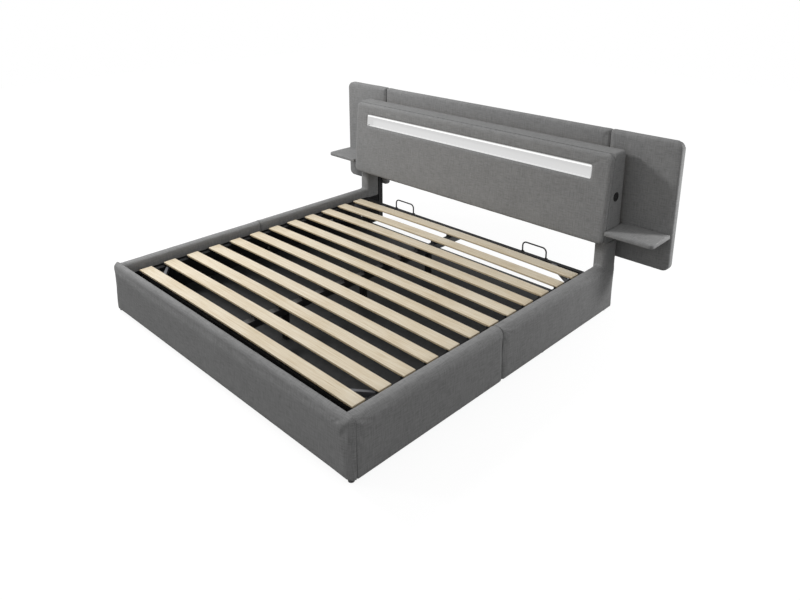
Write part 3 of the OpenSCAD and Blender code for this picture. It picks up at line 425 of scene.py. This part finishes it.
# Hardboard faced with dark grey foil: flat, with a faint mottle
def hardboardMaterial():
    board = {"dark": "#1C1D1E", "light": "#272829",
             "mottleSize": 0.033, "fibreSize": 0.0011, "relief": 0.0002}
    material, surface = startMaterial("foilFacedHardboard", Roughness=0.62, Specular_IOR_Level=0.4)
    place = addNode(material, "ShaderNodeTexCoord").outputs["Object"]
    mottle = addNode(material, "ShaderNodeTexNoise", inputs={
        "Vector": place, "Scale": 1 / board["mottleSize"], "Detail": 5.0}).outputs["Fac"]
    colour = addNode(material, "ShaderNodeValToRGB", inputs={"Fac": mottle}, stops=[
        (0.35, board["dark"]), (0.65, board["light"])]).outputs["Color"]
    wire(material, colour, surface, "Base Color")
    fibre = addNode(material, "ShaderNodeTexNoise", inputs={
        "Vector": place, "Scale": 1 / board["fibreSize"]}).outputs["Fac"]
    bump = addNode(material, "ShaderNodeBump", inputs={
        "Height": fibre, "Strength": 0.2, "Distance": board["relief"]}).outputs[0]
    wire(material, bump, surface, "Normal")
    return material


# Moulded plastic: even colour, fine spark-eroded texture; a glow, where one is given, is painted light that
# stands in for light falling on the part
def mouldedMaterial(name, hexText, roughness, glow=0.0):
    mould = {"gritSize": 0.0014, "relief": 0.0002}
    material, surface = startMaterial(name, Roughness=roughness, Specular_IOR_Level=0.5,
                                      Emission_Color=tone("#FFFFFF"), Emission_Strength=glow)
    place = addNode(material, "ShaderNodeTexCoord").outputs["Object"]
    grit = addNode(material, "ShaderNodeTexNoise", inputs={
        "Vector": place, "Scale": 1 / mould["gritSize"], "Detail": 2.0}).outputs["Fac"]
    base = tone(hexText)
    paler = [min(1, c * 1.12 + 0.002) for c in base[:3]] + [1]
    colour = addNode(material, "ShaderNodeMix", {"data_type": "RGBA"}, {
        0: grit, 6: base, 7: paler}).outputs[2]
    wire(material, colour, surface, "Base Color")
    bump = addNode(material, "ShaderNodeBump", inputs={
        "Height": grit, "Strength": 0.25, "Distance": mould["relief"]}).outputs[0]
    wire(material, bump, surface, "Normal")
    return material


# Opal acrylic with light-emitting diodes behind it: glows an even white
def litDiffuserMaterial():
    material, surface = startMaterial("opalAcrylicLit", Roughness=0.4, Base_Color=tone("#6E6E6C"),
                                      Emission_Color=tone("#FFFFFF"), Emission_Strength=0.95)
    return material


# Spun-bonded lining cloth over board: black, matt, with tiny pressed points
def liningMaterial():
    cloth = {"dark": "#1A1A1B", "light": "#262627", "pointGap": 0.0038, "relief": 0.0004}
    material, surface = startMaterial("spunBondedLining", Roughness=0.95, Specular_IOR_Level=0.2)
    place = addNode(material, "ShaderNodeTexCoord").outputs["Object"]
    points = addNode(material, "ShaderNodeTexVoronoi", inputs={
        "Vector": place, "Scale": 1 / cloth["pointGap"]}).outputs["Distance"]
    colour = addNode(material, "ShaderNodeValToRGB", inputs={"Fac": points}, stops=[
        (0.2, cloth["dark"]), (0.7, cloth["light"])]).outputs["Color"]
    wire(material, colour, surface, "Base Color")
    bump = addNode(material, "ShaderNodeBump", inputs={
        "Height": points, "Strength": 0.35, "Distance": cloth["relief"]}).outputs[0]
    wire(material, bump, surface, "Normal")
    return material


linen = linenMaterial()
birch = birchMaterial()
blackSteel = powderCoatMaterial("blackPowderCoat", "#111112", 0.6, 0.22)
greySteel = powderCoatMaterial("greyPowderCoat", "#55565A", 0.4, 0.45)
glossySteel = powderCoatMaterial("glossyBlackPowderCoat", "#262627", 0.3, 0.45)
zinc = platedMaterial("zincPlatedSteel", "#B9B9B6", 0.34)
chrome = platedMaterial("hardChromeRod", "#D0D0D2", 0.12)
timber = rawTimberMaterial()
hardboard = hardboardMaterial()
blackPlastic = mouldedMaterial("blackMouldedNylon", "#101011", 0.5)
whitePlastic = mouldedMaterial("whiteMouldedAbs", "#DEDEDE", 0.42)
# white tray plastic with a painted glow: even emission that stands in for the strip's light on the tray, also
# where the tray lies in shade
trayPaintedGlow = mouldedMaterial("whiteAbsTrayPaintedGlow", "#707070", 0.42, 0.53)
litDiffuser = litDiffuserMaterial()
lining = liningMaterial()
print("materials made")


def dress(piece, material):
    piece.data.materials.clear()
    piece.data.materials.append(material)


nodeFinish = {
    "board": timber, "black_steel": blackSteel, "zinc_steel": zinc, "floor_board": hardboard, "birch": birch,
    "black_plastic": blackPlastic, "white_tray": whitePlastic, "diffuser": litDiffuser,
    "back_lining": lining, "rod_chrome": chrome, "upholstery": linen,
}
for part in frame["record"]["subparts"]:
    dress(frame["nodes"][part["node"]], nodeFinish[part["material_slot"]])
dress(frame["nodes"]["corner_braces"], greySteel)
dress(frame["nodes"]["centre_tube"], glossySteel)
# the light tray gets the painted glow
dress(frame["nodes"]["light_tray"], trayPaintedGlow)


# Black lining cloth on the faces that look into the base, below the slats: painted shade for the dark inside
# of the base
def paintShadeInside(piece, inward, below=0.226, facing=0.6):
    piece.data.materials.append(lining)
    for face in piece.data.polygons:
        if face.normal.dot(Vector(inward)) > facing and face.center.z < below:
            face.material_index = 1


# A finished cover: woven coordinates, cloth, body, and what it stands for
def finishCover(piece, node, isMapped=False):
    if not isMapped:
        weaveMap(piece)
    dress(piece, linen)
    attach(piece, "frame")
    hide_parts(node)


# Footboard

def makeFootboard():
    size = {"half": 1.0148, "front": -1.0505, "back": -1.018, "low": 0.0120, "top": 0.2975,
            "endRadius": 0.026, "frontRadius": 0.0255, "backRadius": 0.0065, "lowRadius": 0.004,
            "heldDepth": 0.003, "swell": 0.0055, "fill": 0.8}
    cover = startBlock("footboardPadding", (-size["half"], size["front"], size["low"]),
                       (size["half"], size["back"], size["top"]))
    for side in (-1, 1):
        roundEdges(cover, alongAxis("y", x=side * size["half"], z=size["top"]), size["endRadius"])
    roundEdges(cover, alongAxis("x", y=size["back"], z=size["top"]), size["backRadius"])
    isFrontRim = onPlane("y", size["front"])
    isBottom = onPlane("z", size["low"])
    roundEdges(cover, lambda a, b: isFrontRim(a, b) and not isBottom(a, b), size["frontRadius"], 7)
    roundEdges(cover, alongAxis("x", y=size["front"], z=size["low"]), size["lowRadius"], 2)
    fillPad(cover, lambda p: (p[:, 1] > size["back"] - size["heldDepth"])
            | (p[:, 2] < size["low"] + size["heldDepth"]), cap=size["swell"])
    finishCover(cover, "footboard_cover")
    paintShadeInside(cover, (0, 1, 0))
    print("footboard padded")


makeFootboard()


# Side rails: a front half, and a rear half that runs on up the post

def makeRails():
    rail = {"inner": 0.943, "outer": 1.0148, "front": -1.0175, "joint": -0.0850, "gap": 0.0008, "back": 0.969,
            "low": 0.0120, "hang": 0.0075, "top": 0.2895, "outerRadius": 0.033, "innerRadius": 0.025,
            "endRadius": 0.014, "cornerRadius": 0.022, "lowRadius": 0.004,
            "heldDepth": 0.003, "heldEnd": 0.002, "heldTop": 0.004, "swell": 0.003, "fill": 0.8}
    post = {"inner": 0.930, "outer": 1.0148, "front": 0.8602, "back": 0.969, "low": 0.0120, "top": 0.4315,
            "frontRadius": 0.027, "innerRadius": 0.015, "backRadius": 0.010}

    def isGlued(p):
        return (p[:, 0] < rail["inner"] + rail["heldDepth"]) | (p[:, 2] < rail["low"] + rail["heldDepth"])

    end = rail["joint"] - rail["gap"]
    frontHalf = startBlock("railPaddingFrontRight", (rail["inner"], rail["front"], rail["hang"]),
                           (rail["outer"], end, rail["top"]))
    roundEdges(frontHalf, alongAxis("x", y=end, z=rail["hang"]), rail["cornerRadius"])
    roundEdges(frontHalf, alongAxis("y", x=rail["outer"], z=rail["top"]), rail["outerRadius"])
    roundEdges(frontHalf, alongAxis("y", x=rail["inner"], z=rail["top"]), rail["innerRadius"])
    roundEdges(frontHalf, alongAxis("z", x=rail["outer"], y=end), rail["endRadius"])
    roundEdges(frontHalf, alongAxis("y", x=rail["outer"], z=rail["hang"]), rail["lowRadius"], 2)
    fillPad(frontHalf, lambda p: isGlued(p) | (p[:, 1] < rail["front"] + rail["heldDepth"])
            | (p[:, 1] > end - rail["heldEnd"]), cap=rail["swell"])

    start = rail["joint"] + rail["gap"]
    rearHalf = startBlock("railPaddingRearRight", (rail["inner"], start, rail["low"]),
                          (rail["outer"], rail["back"], rail["top"]))
    roundEdges(rearHalf, alongAxis("y", x=rail["outer"], z=rail["top"]), rail["outerRadius"])
    roundEdges(rearHalf, alongAxis("y", x=rail["inner"], z=rail["top"]), rail["innerRadius"])
    roundEdges(rearHalf, alongAxis("z", x=rail["outer"], y=start), rail["endRadius"])
    roundEdges(rearHalf, alongAxis("z", x=rail["outer"], y=rail["back"]), post["backRadius"])
    upright = startBlock("postPaddingRight", (post["inner"], post["front"], post["low"]),
                         (post["outer"], post["back"], post["top"]))
    roundEdges(upright, alongAxis("z", x=post["outer"], y=post["front"]), post["frontRadius"])
    roundEdges(upright, alongAxis("z", x=post["inner"], y=post["front"]), post["innerRadius"])
    roundEdges(upright, alongAxis("z", x=post["outer"], y=post["back"]), post["backRadius"])
    roundEdges(upright, alongAxis("z", x=post["inner"], y=post["back"]), post["backRadius"])
    joinInto(rearHalf, [upright])
    fillPad(rearHalf, lambda p: isGlued(p) | (p[:, 1] < start + rail["heldEnd"])
            | (p[:, 1] > rail["back"] - rail["heldDepth"]) | (p[:, 2] > post["top"] - rail["heldTop"]),
            cap=rail["swell"])

    for source, name, node in ((frontHalf, "railPaddingFrontLeft", "front_rail_cover_"),
                               (rearHalf, "railPaddingRearLeft", "rear_side_cover_")):
        twin = mirrored(source, name)
        finishCover(source, node + "right")
        paintShadeInside(source, (-1, 0, 0))
        finishCover(twin, node + "left")
        paintShadeInside(twin, (1, 0, 0))
    print("side rails padded")


makeRails()


# Opening for the light, cut square to the leaning front
light = {"half": 0.8925, "low": 0.3578, "top": 0.4368, "cornerRadius": 0.005, "cutDepth": 0.1,
         "leanBack": 0.040, "leanHeight": 0.515, "footY": 0.798, "footZ": 0.432}
leanAngle = math.atan2(light["leanBack"], light["leanHeight"])
leaning = Matrix.Translation((0, light["footY"], light["footZ"])) @ Matrix.Rotation(-leanAngle, 4, "X")


def cutOpening(cover, isLeaning):
    hole = startBlock("lightOpening", (-light["half"], -light["cutDepth"], light["low"]),
                      (light["half"], light["cutDepth"], light["top"]))
    for side in (-1, 1):
        for level in (light["low"], light["top"]):
            roundEdges(hole, alongAxis("y", x=side * light["half"], z=level), light["cornerRadius"], 3)
    if isLeaning:
        hole.data.transform(leaning)
    applyModifier(cover, "BOOLEAN", operation="DIFFERENCE", object=hole, solver="EXACT")
    bpy.data.objects.remove(hole)


# Headboard box: cloth over thin wadding round the boards

def makeBoxCover():
    box = {"half": 1.0148, "front": 0.8210, "back": 0.9685, "low": 0.4322, "top": 0.9468, "lean": 0.040,
           "radius": 0.014, "thickness": 0.0045, "cutsAcross": 150, "cutsUp": 38, "cutsDeep": 10,
           "longAcross": 1.0, "longUp": 0.3, "longDeep": 0.09, "facing": 0.9, "smooth": 50,
           "depth": 0.0005, "heldBack": 0.004, "rim": 0.002, "fill": 0.95}
    cover = startBlock("boxPadding", (-box["half"], box["front"], box["low"]),
                       (box["half"], box["back"], box["top"]))
    points = pointsOf(cover)
    isTopFront = (points[:, 2] > box["top"] - box["rim"]) & (points[:, 1] < box["front"] + box["rim"])
    points[isTopFront, 1] += box["lean"]
    placePoints(cover, points)
    pick(cover)
    bpy.ops.object.mode_set(mode="EDIT")
    bpy.ops.mesh.select_mode(type="FACE")
    bpy.ops.mesh.select_all(action="DESELECT")
    shape = bmesh.from_edit_mesh(cover.data)
    for face in shape.faces:
        face.select = face.normal.y > box["facing"]
    bmesh.update_edit_mesh(cover.data)
    bpy.ops.mesh.delete(type="ONLY_FACE")
    bpy.ops.object.mode_set(mode="OBJECT")
    runsBack = alongAxis("y")
    roundEdges(cover, lambda a, b: runsBack(a, b) and near(a.x, b.x) and near(a.z, b.z), box["radius"])

    # even strips, so that the wadding can show
    for axis, shortest, cuts in (("x", box["longAcross"], box["cutsAcross"]),
                                 ("z", box["longUp"], box["cutsUp"]),
                                 ("y", box["longDeep"], box["cutsDeep"])):
        cutEdges(cover, alongAxis(axis, shortest), cuts)
    applyModifier(cover, "SOLIDIFY", thickness=box["thickness"], offset=-1, use_even_offset=True)
    points = pointsOf(cover)
    isInner = (np.abs(points[:, 0]) < box["half"] - box["rim"]) & (points[:, 2] < box["top"] - box["rim"]) \
        & (points[:, 2] > box["low"] + box["rim"])
    wadding(cover, (points[:, 1] > box["back"] - box["heldBack"]) | isInner, depth=box["depth"])
    cutOpening(cover, True)
    pick(cover)
    bpy.ops.object.shade_smooth_by_angle(angle=math.radians(box["smooth"]))
    finishCover(cover, "box_cover")
    print("headboard box covered")


makeBoxCover()


# Leaning front pad, with the opening for the light

def makeFrontPad():
    pad = {"half": 1.0148, "depth": 0.0265, "front": 0.0010, "top": 0.5160, "low": 0.0003,
           "cornerRadius": 0.039, "edgeRadius": 0.0175, "backRadius": 0.006,
           "heldDepth": 0.003, "heldRim": 0.004, "swell": 0.002, "fill": 0.85}
    cover = startBlock("headboardPadding", (-pad["half"], pad["front"], pad["low"]),
                       (pad["half"], pad["depth"], pad["top"]))
    for side in (-1, 1):
        for level in (pad["low"], pad["top"]):
            roundEdges(cover, alongAxis("y", x=side * pad["half"], z=level), pad["cornerRadius"], 8)
    roundEdges(cover, onPlane("y", pad["front"]), pad["edgeRadius"], 6)
    roundEdges(cover, onPlane("y", pad["depth"]), pad["backRadius"], 3)
    cutOpening(cover, False)

    def isHeld(p):
        inOpening = (np.abs(p[:, 0]) < light["half"] + pad["heldRim"]) \
            & (p[:, 2] > light["low"] - pad["heldRim"]) & (p[:, 2] < light["top"] + pad["heldRim"])
        return (p[:, 1] > pad["depth"] - pad["heldDepth"]) | inOpening
    fillPad(cover, isHeld, cap=pad["swell"])
    weaveMap(cover)
    cover.data.transform(leaning)
    finishCover(cover, "headboard_front_pad", isMapped=True)
    print("front pad made")


makeFrontPad()


# Back panels

def makePanels():
    panel = {"front": 1.0115, "back": 1.0525, "top": 1.0335, "edgeRadius": 0.012, "seamRadius": 0.007,
             "backRadius": 0.003, "heldDepth": 0.003, "heldSeam": 0.002, "swell": 0.0022, "fill": 0.8}
    wing = {"inner": 0.8912, "outer": 1.3045, "low": 0.2955, "cornerRadius": 0.045, "innerRadius": 0.024}
    centre = {"half": 0.8898, "low": 0.4522, "voxel": 0.007}
    cover = startBlock("wingPaddingRight", (wing["inner"], panel["front"], wing["low"]),
                       (wing["outer"], panel["back"], panel["top"]))
    roundEdges(cover, alongAxis("y", x=wing["outer"], z=panel["top"]), wing["cornerRadius"], 8)
    roundEdges(cover, alongAxis("y", x=wing["outer"], z=wing["low"]), wing["cornerRadius"], 8)
    roundEdges(cover, alongAxis("y", x=wing["inner"], z=wing["low"]), wing["innerRadius"], 6)
    roundEdges(cover, alongAxis("y", x=wing["inner"], z=panel["top"]), panel["seamRadius"], 3)
    roundEdges(cover, onPlane("y", panel["front"]), panel["edgeRadius"], 6)
    roundEdges(cover, onPlane("y", panel["back"]), panel["backRadius"], 2)
    fillPad(cover, lambda p: (p[:, 1] > panel["back"] - panel["heldDepth"])
            | (p[:, 0] < wing["inner"] + panel["heldSeam"]), cap=panel["swell"])
    twin = mirrored(cover, "wingPaddingLeft")
    finishCover(cover, "wing_cover_right")
    finishCover(twin, "wing_cover_left")

    middle = startBlock("centrePadding", (-centre["half"], panel["front"], centre["low"]),
                        (centre["half"], panel["back"], panel["top"]))
    for side in (-1, 1):
        for level in (centre["low"], panel["top"]):
            roundEdges(middle, alongAxis("y", x=side * centre["half"], z=level), panel["seamRadius"], 3)
    roundEdges(middle, onPlane("y", panel["front"]), panel["edgeRadius"], 6)
    roundEdges(middle, onPlane("y", panel["back"]), panel["backRadius"], 2)
    fillPad(middle, lambda p: (p[:, 1] > panel["back"] - panel["heldDepth"])
            | (np.abs(p[:, 0]) > centre["half"] - panel["heldSeam"]),
            voxel=centre["voxel"], cap=panel["swell"])
    finishCover(middle, "centre_panel_cover")
    print("back panels padded")


makePanels()


# Bedside shelves

def makeShelves():
    shelf = {"inner": 1.0153, "outer": 1.2948, "front": 0.7972, "back": 1.0105, "low": 0.4942, "top": 0.5188,
             "cornerRadius": 0.026, "edgeRadius": 0.0055, "heldDepth": 0.003, "heldSide": 0.002,
             "voxel": 0.004, "swell": 0.0008, "fill": 0.95}
    cover = startBlock("shelfPaddingRight", (shelf["inner"], shelf["front"], shelf["low"]),
                       (shelf["outer"], shelf["back"], shelf["top"]))
    roundEdges(cover, alongAxis("z", x=shelf["outer"], y=shelf["front"]), shelf["cornerRadius"], 8)
    roundEdges(cover, alongAxis("z", x=shelf["inner"], y=shelf["front"]), shelf["edgeRadius"], 4)

    atWing = onPlane("y", shelf["back"])
    atBox = onPlane("x", shelf["inner"])
    for level in (shelf["top"], shelf["low"]):
        isLevel = onPlane("z", level)
        roundEdges(cover, lambda a, b: isLevel(a, b) and not atWing(a, b) and not atBox(a, b),
                   shelf["edgeRadius"], 5)
    fillPad(cover, lambda p: (p[:, 1] > shelf["back"] - shelf["heldDepth"])
            | (p[:, 0] < shelf["inner"] + shelf["heldSide"]), voxel=shelf["voxel"], cap=shelf["swell"])
    twin = mirrored(cover, "shelfPaddingLeft")
    finishCover(cover, "shelf_cover_right")
    finishCover(twin, "shelf_cover_left")
    print("shelves padded")


makeShelves()


# Slats: crowned birch boards with eased edges, one made and the rest copied

def makeSlats():
    first = startBlock("slatFirst", (-slat["half"], slat["first"], slat["foot"]),
                       (slat["half"], slat["first"] + slat["width"], slat["foot"] + slat["thickness"]))
    roundEdges(first, lambda a, b: True, slat["ease"], 3)
    cutEdges(first, alongAxis("x", slat["half"]), slat["steps"] - 1)
    points = pointsOf(first)
    points[:, 2] += slat["crown"] * (1 - (points[:, 0] / slat["half"]) ** 2)
    placePoints(first, points)
    pick(first)
    bpy.ops.object.shade_smooth_by_angle(angle=math.radians(slat["smooth"]))
    dress(first, birch)
    copies = []
    for number in range(1, slat["count"]):
        copied = first.copy()
        copied.data = first.data.copy()
        bpy.context.collection.objects.link(copied)
        copied.data.transform(Matrix.Translation((0, number * slat["pitch"], 0)))
        copies.append(copied)
    joinInto(first, copies)
    first.name = "crownedSlats"
    first.data.name = "crownedSlats"
    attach(first, "platform")
    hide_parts("slats")
    print("slats made")


makeSlats()


# Floor, light and camera

# 1 where the camera sees a surface itself, in a reflection or through glass, and 0 where light falls on it
def seenDirectly(owner):
    rays = addNode(owner, "ShaderNodeLightPath").outputs
    through = addNode(owner, "ShaderNodeMath", {"operation": "MAXIMUM"}, {
        0: rays["Is Glossy Ray"], 1: rays["Is Transmission Ray"]}).outputs[0]
    return addNode(owner, "ShaderNodeMath", {"operation": "MAXIMUM"}, {
        0: rays["Is Camera Ray"], 1: through}).outputs[0]


def makeStudio():
    studio = {"floorHalf": 9.0, "sky": 0.57, "sunPower": 0.50, "sunAngle": 9.0, "sunWay": (1.7, 1.0, -0.95),
              "sunPlace": (-4, -3, 4),
              "lamp": {"power": 206, "place": (-2.30, -0.97, 2.80), "radius": 0.32},
              "rim": {"power": 26, "place": (1.85, 1.5, 0.75), "radius": 0.15},
              "floorPlain": "#666666", "floorShown": "#6C6C6C", "floorGlow": 0.9}
    freeHands()
    bpy.ops.mesh.primitive_plane_add(size=2 * studio["floorHalf"], location=(0, 0, 0))
    floor = bpy.context.object
    floor.name = "studioFloor"
    material, surface = startMaterial("paleMattFloor", Roughness=0.9, Specular_IOR_Level=0.1)
    seen = seenDirectly(material)
    colour = addNode(material, "ShaderNodeMix", {"data_type": "RGBA"}, {
        0: seen, 6: tone(studio["floorPlain"]), 7: tone(studio["floorShown"])}).outputs[2]
    wire(material, colour, surface, "Base Color")
    surface.inputs["Emission Color"].default_value = tone("#FFFFFF")
    glow = addNode(material, "ShaderNodeMath", {"operation": "MULTIPLY"}, {0: seen, 1: studio["floorGlow"]})
    wire(material, glow.outputs[0], surface, "Emission Strength")
    dress(floor, material)

    world = bpy.context.scene.world or bpy.data.worlds.new("studioSky")
    bpy.context.scene.world = world
    world.use_nodes = True
    back = world.node_tree.nodes["Background"]
    strength = addNode(world, "ShaderNodeMapRange", inputs={
        "Value": seenDirectly(world), "To Min": studio["sky"], "To Max": 1.0}).outputs[0]
    wire(world, strength, back, "Strength")
    back.inputs["Color"].default_value = tone("#FFFFFF")

    freeHands()
    bpy.ops.object.light_add(type="SUN", location=studio["sunPlace"])
    sun = bpy.context.object
    sun.name = "softSun"
    sun.data.energy = studio["sunPower"]
    sun.data.angle = math.radians(studio["sunAngle"])
    sun.rotation_euler = Vector(studio["sunWay"]).to_track_quat("-Z", "Y").to_euler()
    for name in ("lamp", "rim"):
        bpy.ops.object.light_add(type="POINT", location=studio[name]["place"])
        made = bpy.context.object
        made.name = name + "Light"
        made.data.energy = studio[name]["power"]
        made.data.shadow_soft_size = studio[name]["radius"]
        made.visible_camera = False

    view = {"place": (2.7227, -2.5205, 1.9704), "turn": (72.890, 0, 44.431), "lens": 31.753,
            "shiftX": -0.0008, "shiftY": -0.1626, "sensor": 36, "reach": 60}
    bpy.ops.object.camera_add(location=view["place"], rotation=[math.radians(a) for a in view["turn"]])
    camera = bpy.context.object
    camera.name = "photoCamera"
    camera.data.lens = view["lens"]
    camera.data.sensor_width = view["sensor"]
    camera.data.sensor_fit = "HORIZONTAL"
    camera.data.shift_x = view["shiftX"]
    camera.data.shift_y = view["shiftY"]
    camera.data.clip_end = view["reach"]
    bpy.context.scene.camera = camera
    bpy.context.scene.view_settings.view_transform = "Standard"
    print("studio set")


makeStudio()
